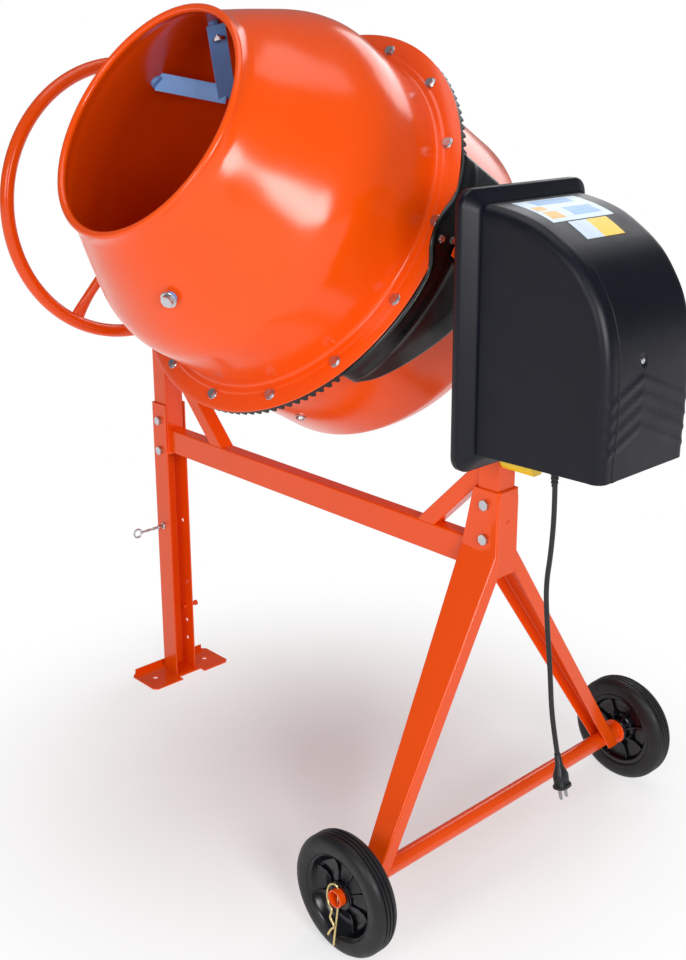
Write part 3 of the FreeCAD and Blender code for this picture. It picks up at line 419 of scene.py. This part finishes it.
def make_cord():
    """The mains lead: hanging from its gland under the case to the plug."""
    route = [(581, -60, 708), (584, -60, 645), (581, -60, 575), (574, -60, 520), (580, -60, 460),
             (589, -60, 390), (594, -60, 335), (603, -60, 290), (611.5, -60, 255)]
    radius = 3.75
    curve = bpy.data.curves.new("mains_lead", "CURVE")
    curve.dimensions = "3D"
    curve.bevel_depth = radius * MM
    curve.bevel_resolution = 5
    curve.resolution_u = 16
    curve.use_fill_caps = True
    spline = curve.splines.new("NURBS")
    spline.points.add(len(route) - 1)
    for point, spot in zip(spline.points, route):
        point.co = (*(TO_ROW @ Vector(spot)), 1)
    spline.order_u = 3
    spline.use_endpoint_u = True
    curve.materials.append(CORD)
    lead = bpy.data.objects.new("mains_lead", curve)
    bpy.context.scene.collection.objects.link(lead)
    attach(lead, "frame")
    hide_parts("power_cord")

    sleeve = bmesh.new()
    outline = [(4.0, 706), (7.6, 706), (7.6, 705.2), (10.2, 704.6), (10.2, 700), (9.2, 698.6),
               (7.0, 698)]
    for ring in range(4):
        height, wide = 697 - ring * 6, 6.6 - ring * 0.5
        groove = wide - 1.3
        outline += [(wide, height), (wide, height - 3.2), (groove, height - 4.0),
                    (groove, height - 5.4)]
    outline += [(4.6, 672), (3.9, 671)]
    turn(sleeve, outline, Matrix.Translation((581.6, -60, 0)), 40)
    piece("cord_relief", sleeve, "frame", "cord_rubber", CORD, "cord_gland")

    start, before = Vector(route[-1]), Vector(route[-2])
    along = (start - before).normalized()
    place = Matrix.Translation(start) @ along.to_track_quat("Z", "Y").to_matrix().to_4x4()
    plug = bmesh.new()
    turn(plug, [(3.6, -14), (4.6, -14), (4.9, -11), (4.3, -10.4), (5.2, -7), (4.6, -6.4), (5.6, -3),
                (5.0, -2.2), (6.0, 1), (3.6, 1)], place, 32)
    # Sections of the grip along the cord: height, half width, half depth and squareness.
    sections = [(0, 5.6, 5.4, 1), (5, 6.6, 6, 1), (10, 8.6, 7.4, 1.1), (15, 10.6, 8.6, 1.3),
                (19, 11.6, 9.6, 1.4), (24, 11.2, 9.4, 1.5), (30, 10.8, 9.4, 1.5),
                (32.5, 12, 10.6, 1.5), (33.5, 13, 11.6, 1.5), (37, 13, 11.6, 1.5),
                (38, 12.2, 10.8, 1.5)]
    loops = []
    for height, wide, deep, square in sections:
        loop = []
        for i in range(40):
            c, s = math.cos(2 * math.pi * i / 40), math.sin(2 * math.pi * i / 40)
            loop.append(place @ Vector((wide * math.copysign(abs(c) ** (1 / square), c),
                                        deep * math.copysign(abs(s) ** (1 / square), s), height)))
        loops.append(loop)
    skin(plug, loops, cap=True)
    body = piece("plug_body", plug, "frame", "cord_rubber", CORD, "plug")

    pins = bmesh.new()
    outline = soften([(-3.1, 37), (3.1, 37), (3.1, 53), (1.9, 54.5), (-1.9, 54.5), (-3.1, 53)],
                     0.8, 2)
    for x in (-6, 6):
        skin(pins, [[place @ Vector((x + side, p[0], p[1])) for p in outline]
                    for side in (-0.75, 0.75)], cap=True)
    pillar(pins, [(2.3, 37), (2.3, 52), (1.6, 54.2)], place @ Matrix.Translation((0, -6.5, 0)), 20)
    blades = piece("plug_pins", pins, "frame", "zinc", ZINC)


# ---------------------------------------------------------------- drum


def make_drum():
    """The drum's two pressed halves in (radius, height) about its axis, their screws and blades."""
    shoulder = [(292, 150), (290.5, 166), (286.6, 182), (280, 200), (270, 219), (257, 240),
                (231.5, 280), (205, 320), (194, 340)]
    inner = [(r - 3.0 if h > 160 else r - 2.5, h) for r, h in shoulder]
    front = [(289.5, 38), (335.4, 38), (336, 38.6), (336, 39.9), (335.4, 40.5), (309, 40.5),
             (307, 41), (305, 42.4), (303, 42.9), (297.5, 42.9), (295, 43.8), (293.2, 46),
             (292.2, 50), (292, 60), (292, 100), (292, 140)]
    front += [tuple(p) for p in through(shoulder, 5)]
    front += [tuple(p) for p in arc((184.6, 356.9), 6.1, -20, 216, 20)]
    front += [tuple(p) for p in reversed(through(inner, 5))]
    front += [(289.5, 140), (289.5, 100)]
    mesh = bmesh.new()
    turn(mesh, front, DRUM_AXES, 240)
    piece("drum_front_shell", mesh, "drum", "orange_enamel", ORANGE, "drum_front", crease=50)

    bowl = [(294, -186), (293, -194), (289.5, -202), (280, -219), (265, -240), (246, -261),
            (228, -280), (211, -300), (194, -320), (184, -332)]
    inside = [(r - 2.6, h + 0.9) for r, h in bowl]
    back = [(291.5, 34), (319.4, 34), (320, 33.4), (320, 32.6), (319.4, 32), (303, 32), (299, 31),
            (296, 28.6), (294.4, 24), (294, 14), (294, -60), (294, -130)]
    back += [tuple(p) for p in through(bowl, 5)]
    back += [(180, -336), (174, -338), (134, -338), (131, -337.4), (127, -333.6), (124, -333),
             (98, -333), (95, -333.6), (91, -337.4), (88, -338), (28, -338), (28, -335.5),
             (88, -335.5), (92.5, -334.8), (96.5, -330.6), (125.5, -330.6), (129.5, -334.8),
             (134, -335.5), (173, -335.5), (178, -333)]
    back += [tuple(p) for p in reversed(through(inside, 5))]
    back += [(291.5, -130), (291.5, -60), (291.5, 20)]
    mesh = bmesh.new()
    turn(mesh, back, DRUM_AXES, 240)
    piece("drum_back_shell", mesh, "drum", "orange_enamel", ORANGE, "drum_back", crease=50)

    mesh = bmesh.new()
    for i in range(15):
        angle = math.radians(24 * i - 18.7)
        spot = Matrix.Translation((313 * math.cos(angle), 313 * math.sin(angle), 40.5))
        screw(mesh, DRUM_AXES @ spot @ Matrix.Rotation(angle * 3, 4, "Z"), 13, 5.6, 9.5, 4, 14.5)
    piece("flange_screws", mesh, "drum", "zinc", ZINC, "flange_bolts")

    mesh = bmesh.new()
    for way in (1, -1):
        out = Vector((-0.33 * way, 0.78 * way, 0.53)).normalized()
        wall = Vector((-96 * way, 226 * way, 262)) + out * 6.2
        place = (DRUM_AXES @ Matrix.Translation(wall)
                 @ out.to_track_quat("Z", "Y").to_matrix().to_4x4())
        screw(mesh, place, 17, 7.5, 13, 3.5, 41.8)
    piece("blade_screws", mesh, "drum", "zinc", ZINC, "blade_bolts")

    mesh = bmesh.new()
    for angle in (-79, 101):
        turned = Matrix.Rotation(math.radians(angle), 4, "Z")
        place = DRUM_AXES @ turned @ Matrix.Translation((294.2, 0, -100)) @ ALONG_X
        screw(mesh, place, 13, 5.5, 9.5, 3.5, 9)
    piece("shell_screws", mesh, "drum", "zinc", ZINC)
    pressed("upper_blade", "drum", "blade_steel", 0.7)
    pressed("lower_blade", "drum", "blade_steel", 0.7)
    pressed("drum_hub", "drum", "plate_steel", 0.6)


# ---------------------------------------------------------------- yoke, guard and hand wheel


def make_guard():
    """The cover over the gear mesh, with a raised bead and a turned-in edge.

    The points of its lower and upper edges are (distance across the drum, height along its axis).
    """
    first, last, radius_outside = -228, 144, 340.4
    lower = through([(first, 2), (-206, -22), (-150, -50), (-80, -78), (0, -94), (80, -90),
                     (last, -58)], 8)
    upper = through([(first, 35), (-150, 36), (-75, 36), (-42, 40), (-14, 57), (12, 62), (38, 57),
                     (72, 42), (108, 37), (last, 36)], 8)

    def edge(points, v):
        for (v0, d0), (v1, d1) in zip(points, points[1:]):
            if v <= v1:
                return d0 + (d1 - d0) * max(0, (v - v0) / (v1 - v0))
        return points[-1][1]

    rows, columns = 150, 34

    def sheet(inset):
        loops = []
        for i in range(rows + 1):
            v = first + (last - first) * i / rows
            low, high = edge(lower, v), edge(upper, v)
            margin = min(v - first, last - v)
            loop = []
            for k in range(columns + 1):
                part = k / columns
                d = low + (high - low) * (0.5 - 0.5 * math.cos(math.pi * part))
                rim = min(d - low, high - d, margin)
                curl = 4.0 * max(0, 1 - rim / 5) ** 2
                bead = 2.2 * math.exp(-((d - 10) / 5) ** 2) * min(1, max(0, rim / 14))
                swell = 2.5 * min(1, max(0, rim / 40))
                radius = radius_outside - curl + bead + swell - inset
                loop.append(DRUM_AXES @ Vector((math.sqrt(radius ** 2 - v * v), v, d)))
            loops.append(loop)
        return loops

    mesh = bmesh.new()
    outer = skin(mesh, sheet(0), closed=False)
    inner = skin(mesh, sheet(1.8), closed=False)

    def rim_of(rings):
        return (rings[0] + [ring[-1] for ring in rings[1:-1]] + rings[-1][::-1]
                + [ring[0] for ring in rings[-2:0:-1]])

    near, far = rim_of(outer), rim_of(inner)
    for i in range(len(near)):
        j = (i + 1) % len(near)
        mesh.faces.new((near[i], near[j], far[j], far[i]))
    piece("gear_cover", mesh, "yoke", "case_plastic", GUARD, "gear_guard", crease=50)

    mesh = bmesh.new()
    for y, z in ((0, 48), (8, 25)):
        place = DRUM_AXES @ Matrix.Translation((342.6, y, z)) @ ALONG_X
        screw(mesh, place, 9, 4.0, 5.6, 2.5, 4, nut=False)
    for y, z in ((-6, -50), (6, -78)):
        place = (DRUM_AXES @ Matrix.Translation((340, y, z))
                 @ Matrix.Rotation(math.radians(-90), 4, "Y"))
        screw(mesh, place, 10, 3.4, 0, 3, 7, nut=False)
    piece("cover_screws", mesh, "yoke", "zinc", ZINC, "guard_screws")


def make_handwheel():
    """A round rim, two flattened spokes that reach in to it from the hub, and the hub."""
    rim_x, rim_radius, hub_x = -523, 254, -462
    centre = Matrix.Translation((rim_x, 0, TILT)) @ ALONG_X
    mesh = bmesh.new()
    turn(mesh, arc((rim_radius, 0), 12.5, 0, 345, 23), centre, 160)
    piece("hand_rim", mesh, "yoke", "orange_enamel", ORANGE, "handwheel_rim")

    mesh = bmesh.new()
    for angle in (59.3, -120.7):
        a = math.radians(angle)
        out = Vector((0, math.cos(a), math.sin(a)))
        side = Vector((0, -math.sin(a), math.cos(a)))
        loops = []
        for part in [k / 24 for k in range(25)]:
            reach = 22 + (249 - 22) * part
            slide = part * part * (3 - 2 * part)
            middle = out * reach + Vector((hub_x + (rim_x - hub_x) * slide, 0, TILT))
            flat = max(0, part - 0.78) / 0.22
            wide, thick = 9 + 5.5 * flat, 9 - 3.5 * flat
            lean = (Vector((1, 0, 0)) + out * 0.38 * (1 - abs(2 * part - 1))).normalized()
            loops.append([middle + side * wide * math.cos(t) + lean * thick * math.sin(t)
                          for t in [2 * math.pi * k / 24 for k in range(24)]])
        skin(mesh, loops, cap=True)
    piece("hand_spokes", mesh, "yoke", "orange_enamel", ORANGE, "handwheel_spokes")

    mesh = bmesh.new()
    low, high = -481, -443
    outline = soften([(15.1, low), (24, low), (27, low + 4), (27, high - 4), (24, high),
                      (15.1, high)], 2)
    place = Matrix.Translation((0, 0, TILT)) @ ALONG_X
    turn(mesh, outline, place, 64)
    piece("hand_hub", mesh, "yoke", "orange_enamel", ORANGE, "handwheel_hub")


def make_yoke():
    """The yoke's arms and cross bar, with the rounded edges of square tube."""
    for node in ("left_yoke_arm", "right_yoke_arm", "yoke_base"):
        pressed(node, "yoke", "orange_enamel", 1.8)


# ---------------------------------------------------------------- frame


def make_frame():
    """Posts, beam, braces, legs and stand with rounded edges, their bolts and the height pin."""
    for node in ("left_post", "right_post", "cross_beam", "right_brace", "left_brace", "front_leg",
                 "rear_leg", "stand_leg"):
        pressed(node, "frame", "orange_enamel", 0.9, bend=2.8)
    pressed("foot_plate", "frame", "orange_enamel", 0.9)
    for node in ("left_bearing", "right_bearing"):
        pressed(node, "frame", frame_slot(node), 2.0)
    pressed("stand_peg", "frame", "orange_enamel", 0.4, 2)

    mesh = bmesh.new()
    for x, heights in ((POST_LEFT, STAND_BOLTS), (POST_RIGHT, LEG_BOLTS)):
        for z in heights:
            place = (Matrix.Translation((x, -SLEEVE_HALF, z))
                     @ Matrix.Rotation(math.radians(90), 4, "X"))
            screw(mesh, place, 15.5, 6, 0, 5, 54)
    piece("post_screws", mesh, "frame", "zinc", ZINC, "stand_bolts", "leg_bolts")

    mesh = bmesh.new()
    place = Matrix.Translation((POST_LEFT, 0, PIN_HEIGHT))
    wire = 1.9
    pillar(mesh, [(3.2, -17), (4, -17.8), (4, -24), (6.5, -24.2), (6.5, -26.4), (6, -27), (4, -27),
                  (4, -38), (3.2, -39)], place @ ALONG_Y, 24)
    for way in (1, -1):
        strand = [(0, -34, 0), (1.6 * way, -48, 1.8 * way), (-1.4 * way, -62, -1.6 * way),
                  (0, -77, way)]
        sweep(mesh, [place @ Vector(p) for p in strand], wire)
    ring = [place @ Vector((0, -86 + 8.2 * math.cos(2 * math.pi * k / 12),
                            8.2 * math.sin(2 * math.pi * k / 12))) for k in range(13)]
    sweep(mesh, ring, wire, ends=False)
    piece("height_clip", mesh, "frame", "zinc", ZINC, "height_pin")
    make_sleeve_face()


def make_sleeve_face():
    """The flat outer face of the legs' sleeve, with the small hole that the photo shows in it."""
    half_wide, middle, half_high = 22.5, 548.5, 67.5
    mesh = bmesh.new()
    rings = []
    for x, margin in ((451, 0), (451.5, 0), (451.9, 0.4)):
        outer, inner = [], []
        for k in range(32):
            a = 2 * math.pi * (k + 0.5) / 32
            c, d = math.cos(a), math.sin(a)
            stretch = 1 / max(abs(c), abs(d))
            outer.append(Vector((x, (half_wide - margin) * c * stretch,
                                 middle + (half_high - margin) * d * stretch)))
            inner.append(Vector((x, -2 + 3.5 * c, 569 + 3.5 * d)))
        rings.append((outer, inner))
    skin(mesh, [outer for outer, _ in rings] + [inner for _, inner in reversed(rings)])
    piece("sleeve_face", mesh, "frame", "orange_enamel", ORANGE)


# ---------------------------------------------------------------- axle and wheels


def make_axle():
    """The axle tube with its collars, the end washers and the hairpin clips."""
    mesh = bmesh.new()
    place = Matrix.Translation((AXLE_X, 0, AXLE_Z)) @ ALONG_Y
    collar = [(13.4, -4), (17, -4), (20.6, -1.2), (21, 0), (20.6, 1.2), (17, 4), (13.4, 4)]
    turn(mesh, [(10.9, -357), (12.9, -357), (13.4, -356.4), (13.4, 356.4), (12.9, 357),
                (10.9, 357)], place, 64)
    for middle in (-310, 310):
        turn(mesh, [(r, h * 0.5 + middle) for r, h in collar], place, 48)
    piece("axle", mesh, "frame", "orange_enamel", ORANGE, "axle_tube")

    mesh = bmesh.new()
    for way in (-1, 1):
        middle = way * 346.3
        outline = [(13.7, middle - 1), (20, middle - 1), (20, middle + 1), (13.7, middle + 1)]
        turn(mesh, soften(outline, 0.4), place, 48)
    piece("end_washers", mesh, "frame", "wheel_plastic", WHEEL, "axle_washers")

    mesh = bmesh.new()
    for way in (-1, 1):
        end = Vector((AXLE_X, way * 349.3, AXLE_Z))
        straight = [(0, 9.3, -76), (0, 5, -46), (0, 1, -19), (0, 0, 0), (-0.5, 0, 13)]
        bow = [(-5, 1, 18.5), (-12, 2, 16.5), (-17, 3, 9), (-18.5, 4, -2), (-14, 6, -13),
               (-5, 8, -20), (-7, 9, -33), (1, 9.3, -43), (-5, 10, -52), (-10, 11, -62)]
        sweep(mesh, [end + Vector((x, way * out, z)) for x, out, z in straight + bow], 1.75)
    piece("hairpins", mesh, "frame", "gilt_wire", GILT, "hairpin_clips")


def make_wheels():
    """Grooved tyres on dished plastic discs with radial webs, as (radius, distance outwards)."""
    for side, way in (("front", -1), ("rear", 1)):
        place = (Matrix.Translation((AXLE_X, WHEEL_Y * way, AXLE_Z))
                 @ Matrix.Rotation(math.radians(-90 * way), 4, "X"))
        body = side + "_roller"
        shoulder = [(64, 16), (66.5, 18.4), (72, 19.6), (78, 20), (83, 19), (87.4, 16.4),
                    (90.2, 12.6), (91.3, 9.6)]
        tread = [(radius, -out) for radius, out in shoulder]
        for middle in (-6.2, 0, 6.2):
            tread += [(91.5, middle - 1.9), (90.9, middle - 1.3), (89.3, middle - 0.8),
                      (89.3, middle + 0.8), (90.9, middle + 1.3), (91.5, middle + 1.9)]
        tread += shoulder[::-1]
        mesh = bmesh.new()
        turn(mesh, tread, place, 144)
        piece(side + "_tyre_rib", mesh, body, "tyre_rubber", RUBBER, side + "_tyre", crease=28)

        mesh = bmesh.new()
        outside = through([(22, 5), (27, 2.5), (38, -1.5), (47, -1.5), (54, 3), (59.5, 12)], 4)
        inside = through([(56, -15), (52.5, -8.5), (45, -6.5), (34, -6.5), (26, -6), (22, -8)], 4)
        dish = [(13.6, 10), (19.6, 10), (21, 9)] + [tuple(p) for p in outside]
        dish += [(61, 15.6), (62.8, 16.8), (64.4, 15.8), (64.4, -15.6), (62.6, -16.8),
                 (57.5, -16.8)]
        dish += [tuple(p) for p in inside] + [(21, -19.8), (19.5, -21), (13.6, -21)]
        turn(mesh, dish, place, 96)
        webs = ([(20.5, 0), (46, -3), (57, 7), (52, 4.4), (42, 1.6), (30, 3.4), (23, 8), (20.5, 8)],
                [(20.5, -4), (53, -7), (55, -13), (46, -10.5), (34, -11), (24, -16), (20.5, -18)])
        for i in range(8):
            spin = place @ Matrix.Rotation(2 * math.pi * (i + 0.5) / 8, 4, "Z")
            for web in webs:
                web = soften(web, 1.5, 2)
                skin(mesh, [[spin @ Vector((p[0], thick, p[1])) for p in web]
                            for thick in (-1.1, 1.1)], cap=True)
        piece(side + "_wheel_disc", mesh, body, "wheel_plastic", WHEEL, side + "_wheel", crease=35)


# ---------------------------------------------------------------- motor case


# PROFILE is the case's outer line in X and height, over the curved top and down to the bottom
# edge; ROUND is the radius from there into the sides.
CASE_START, CASE_END = 460, 687
PROFILE = [(463, 1052), (492, 1050.5), (520, 1046), (544, 1040), (566, 1032), (592, 1018),
           (616, 1002.5), (636, 985), (654, 962), (669, 937), (679, 909), (684.5, 880),
           (686.8, 850), (687, 815), (686, 770), (684.6, 735), (684, 712)]
ROUND = 16
CASE_BOTTOM = 705
SCREW_Y, SCREW_Z = -19, 861


def case_half(x):
    """Half the case's width, which narrows from the lip to the outer wall."""
    return 112 - 14 * (x - CASE_START) / (CASE_END - CASE_START)


def case_rows():
    """The case's outer line from lip to bottom edge: place, inward direction and height."""
    line = through(PROFILE, 8) + [Vector((684, CASE_BOTTOM))]
    rows = []
    for i, spot in enumerate(line):
        ahead = (line[min(i + 1, len(line) - 1)] - line[max(i - 1, 0)]).normalized()
        rows.append((spot, Vector((ahead.y, -ahead.x))))
    return rows


def relief(y, z):
    """How far the case's outer wall stands out: four raised chevrons, the mould's seam line, and
    the hollow around the screw."""
    rise = 0.0
    if CASE_BOTTOM <= z < 872:
        for k in range(4):
            crest = 838 - 22 * k - 0.42 * abs(y + 20)
            rise += 2.2 * math.exp(-((z - crest) / 4.2) ** 2)
        rise *= min(1, max(0, (94 - abs(y)) / 8))
    if z < 985:
        rise += 1.0 * math.exp(-((y + 72) / 1.0) ** 2)
    away = math.hypot(y - SCREW_Y, z - SCREW_Z)
    if away < 8:
        rise -= 2.2 * min(1, (8 - away) / 2.5)
    return rise


def make_case_shell():
    """The case's deep cover: rows across its outer line, each rounded down into the sides."""
    mesh = bmesh.new()
    across = [-72 + 0.6 * k for k in range(-4, 5)]
    across += [k * 4.0 for k in range(-20, 21) if k not in (-18, -6, -5, -4)]
    across += [-19 + 1.5 * k for k in range(-6, 7)]
    across.sort()
    flat = 82
    loops = []
    for spot, inward in case_rows():
        half = case_half(spot.x)
        left, right = [(ROUND + 8, -half)], [(ROUND + 8, half)]
        for a in [math.radians(12 * k) for k in range(8)]:
            depth = ROUND * (1 - math.sin(a))
            y = half - ROUND + ROUND * math.cos(a)
            stand = math.sin(a) ** 2
            column = flat + 12 * math.cos(a)
            left.append((depth - stand * relief(-column, spot.y), -y))
            right.append((depth - stand * relief(column, spot.y), y))
        middle = [(-relief(y, spot.y), y * (half - ROUND) / flat) for y in across]
        points = []
        for depth, y in left + middle + right[::-1]:
            p = spot + inward * depth
            points.append(Vector((p.x, y, p.y)))
        loops.append(points)
    rings = skin(mesh, loops, closed=False)
    side = case_half(CASE_START)
    for end, way in ((0, -1), (-1, 1)):
        corner = mesh.verts.new((CASE_START, way * side, CASE_BOTTOM))
        inner = mesh.verts.new((CASE_START, way * side, 1026))
        mesh.faces.new([ring[end] for ring in rings] + [corner, inner])
    corners = [mesh.verts.new((CASE_START, way * side, CASE_BOTTOM)) for way in (1, -1)]
    mesh.faces.new(rings[-1] + corners)
    bmesh.ops.triangulate(mesh, faces=[f for f in mesh.faces if len(f.verts) > 4])
    bmesh.ops.remove_doubles(mesh, verts=mesh.verts, dist=0.01)
    piece("case_shell", mesh, "frame", "case_plastic", PLASTIC, "case_cover", crease=40)


def make_case():
    """The case: its cover, the lip of its back plate, fixings, labels, motor plate and switch."""
    make_case_shell()

    def outline(x, inset, radius):
        """The lip's level line at one depth: a rectangle with round corners."""
        half, low, high = 133 - inset, 675 + inset, 1071 - inset
        corners = [(half - radius, high - radius), (radius - half, high - radius),
                   (radius - half, low + radius), (half - radius, low + radius)]
        loop = []
        for quarter, (y, z) in enumerate(corners):
            for k in range(9):
                a = math.radians(90 * quarter + 90 * k / 8)
                loop.append(Vector((x, y + radius * math.cos(a), z + radius * math.sin(a))))
        return loop

    mesh = bmesh.new()
    steps = [(452, 3, 23), (452.6, 1.2, 24.4), (454, 0.2, 25), (463, 0, 25), (465.4, 0.6, 24.6),
             (466.6, 2.2, 23.6), (467.4, 4, 22.5), (479, 17, 14), (480.4, 19.5, 12),
             (480.8, 22, 11), (481, 24.5, 10)]
    skin(mesh, [outline(*step) for step in steps], cap=True)
    piece("case_lip", mesh, "frame", "case_plastic", PLASTIC, "case_back", crease=50)

    mesh = bmesh.new()
    place = Matrix.Translation((683.6, SCREW_Y, SCREW_Z)) @ ALONG_X
    pillar(mesh, [(4.2, 0), (4.6, 0.5), (4.4, 1.5), (3.4, 2.2), (2.0, 2.3), (1.6, 1.2)], place, 32)
    for y in (-55, 55):
        for z in (700, 1020):
            place = Matrix.Translation((447, y, z)) @ Matrix.Rotation(math.radians(-90), 4, "Y")
            screw(mesh, place, 10, 4, 0, 3, 17, nut=False)
    piece("case_fixings", mesh, "frame", "zinc", ZINC, "case_screws")
    make_labels()
    pressed("motor_plate", "frame", frame_slot("motor_plate"), 0.8)
    pressed("switch_housing", "frame", "case_plastic", 1.2)
    pressed("switch_rocker", "switch", "switch_green", 1.0, 3)


def make_labels():
    """Blank stickers laid on the case's curved top, and the blank tag that hangs below it."""
    line = through(PROFILE, 8)

    def sticker(name, paint, x0, x1, y0, y1, lift):
        mesh = bmesh.new()
        loops = []
        for k in range(13):
            x = x0 + (x1 - x0) * k / 12
            for a, b in zip(line, line[1:]):
                if a.x <= x <= b.x:
                    spot = a.lerp(b, (x - a.x) / (b.x - a.x))
                    up = Vector((a.y - b.y, b.x - a.x)).normalized()
                    break
            across = [y0 + (y1 - y0) * i / 6 for i in range(7)]
            top, under = spot + up * lift, spot + up * (lift - 0.5)
            loops.append([Vector((top.x, y, top.y)) for y in across]
                         + [Vector((under.x, y, under.y)) for y in reversed(across)])
        skin(mesh, loops, cap=True)
        piece(name, mesh, "frame", "case_plastic", paint)

    sticker("label_large", PALE, 495, 566, -67, 65, 0.5)
    sticker("label_band", SKY, 499, 516, -40, 40, 0.7)
    sticker("label_box_a", MUSTARD, 521, 534, -60, -38, 0.7)
    sticker("label_box_b", MUSTARD, 539, 558, -58, -30, 0.7)
    sticker("label_rows", SKY, 532, 556, -8, 50, 0.7)
    sticker("label_small", PALE, 568.5, 602, -40, -2, 0.5)
    sticker("label_small_side", YELLOW, 568.5, 602, -2, 43, 0.5)

    mesh = bmesh.new()
    outline = soften([(-19, 663), (-19, 674), (10, 674), (10, 663), (4, 655), (-13, 655)], 2)
    skin(mesh, [[Vector((x, p[0], p[1])) for p in outline] for x in (448, 507)], cap=True)
    piece("cable_tag", mesh, "frame", "case_plastic", YELLOW)


# ---------------------------------------------------------------- everything else from the frame


def dress_the_rest():
    """Nodes that keep their CAD shape get their own procedural finish."""
    for node in ("ring_gear", "pinion", "pinion_shaft", "drum_spindle", "spindle_nut",
                 "left_trunnion", "right_trunnion", "motor", "motor_shelf", "motor_shaft",
                 "large_pulley", "motor_pulley", "drive_belt"):
        thing = frame["nodes"][node]
        paint = PAINTS[frame_slot(node)]
        for slot in thing.material_slots:
            slot.material = paint


make_camera(bpy.context.scene)
make_light(bpy.context.scene)
make_floor(bpy.context.scene)
make_cord()
make_drum()
make_guard()
make_handwheel()
make_yoke()
make_frame()
make_axle()
make_wheels()
make_case()
dress_the_rest()
